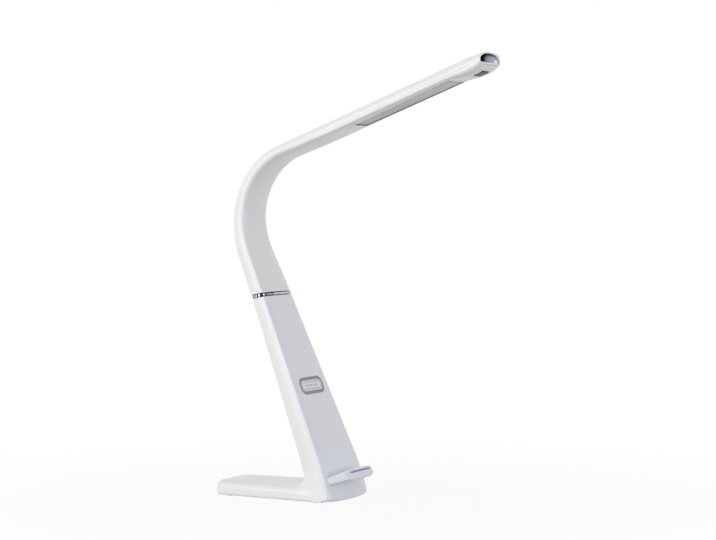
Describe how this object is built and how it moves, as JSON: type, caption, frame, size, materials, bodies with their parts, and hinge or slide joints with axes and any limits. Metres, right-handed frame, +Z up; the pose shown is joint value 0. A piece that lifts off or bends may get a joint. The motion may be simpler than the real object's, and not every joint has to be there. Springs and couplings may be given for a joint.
{
  "type": "folding led desk lamp",
  "caption": "LED desk lamp with a wireless phone charger in its leaning post, a phone ledge, a ring that turns and folds, a curved neck and a straight lit arm with a touch of chrome at its tip.",
  "frame": {"origin": "on the desk, under the middle of the lamp's length and width", "axes": "+X forward, where the arm points; +Y the lamp's left; +Z up"},
  "size_m": [0.2497, 0.0746, 0.3811],
  "materials": {
    "white_shell": "gloss white moulding",
    "face_panel": "gloss cool-white moulding",
    "neck_panel": "gloss white moulding",
    "grey_cover": "fine matt texture",
    "plated_steel": "zinc plated",
    "foot_rubber": "matt",
    "black_plastic": "satin",
    "copper_wire": "enamelled copper wire",
    "ferrite": "matt ferrite sheet",
    "circuit_board": "solder mask",
    "mark_grey": "printed under clear lacquer",
    "blue_light": "clear light guide",
    "bush_brass": "turned",
    "washer_white": "low-friction plastic",
    "ring_chrome": "bright chrome",
    "cast_collar": "die cast",
    "spreader_alu": "folded sheet",
    "board_white": "white solder mask",
    "led_yellow": "phosphor under resin",
    "diffuser_grey": "frosted diffuser",
    "dark_chrome": "dark chrome",
    "key_grey": "satin grey cap"
  },
  "bodies": {
    "base": {"base_shell": "white_shell", "front_panel": "face_panel", "base_cover": "grey_cover", "ballast_plate": "plated_steel", "rubber_feet": "foot_rubber", "base_screws": "plated_steel", "dc_inlet": "black_plastic", "inlet_lead": "black_plastic", "charging_coil": "copper_wire", "ferrite_sheet": "ferrite", "charging_board": "circuit_board", "board_screws": "plated_steel", "charge_mark": "mark_grey", "phone_ledge": "white_shell", "ledge_light": "blue_light", "indicator_board": "circuit_board", "post_cap": "grey_cover", "swivel_bush": "bush_brass", "post_harness": "black_plastic"},
    "collar": {"chrome_ring": "ring_chrome", "collar_plate": "cast_collar", "swivel_shaft": "plated_steel", "lock_nut": "plated_steel", "stop_pin": "plated_steel", "fold_pin": "plated_steel", "spring_washer": "plated_steel", "thrust_washer": "washer_white"},
    "neck": {"hinge_leaf": "plated_steel", "hinge_screws": "plated_steel", "neck_plug": "grey_cover", "neck_shell": "white_shell", "neck_cover": "neck_panel", "heat_spreader": "spreader_alu", "led_board": "board_white", "led_chips": "led_yellow", "diffuser": "diffuser_grey", "end_cap": "dark_chrome", "key_board": "circuit_board", "arm_harness": "black_plastic"},
    "key": {"power_key": "key_grey", "key_light": "blue_light"}
  },
  "joints": [
    {"name": "swivel", "type": "hinge", "parent": "base", "child": "collar", "pos_m": [-0.08526, 0, 0.17313], "axis": [-0.1977, 0, 0.9803], "range_deg": [-45, 45]},
    {"name": "fold", "type": "hinge", "parent": "collar", "child": "neck", "pos_m": [-0.07891, 0, 0.17624], "axis": [0, 1, 0], "range_deg": [0, 70]},
    {"name": "power_key", "type": "slide", "parent": "neck", "child": "key", "axis": [-0.3665, 0, 0.9304], "range_m": [0, 0.0008], "stiffness_N_per_m": 1500, "springref_m": -0.0004}
  ]
}
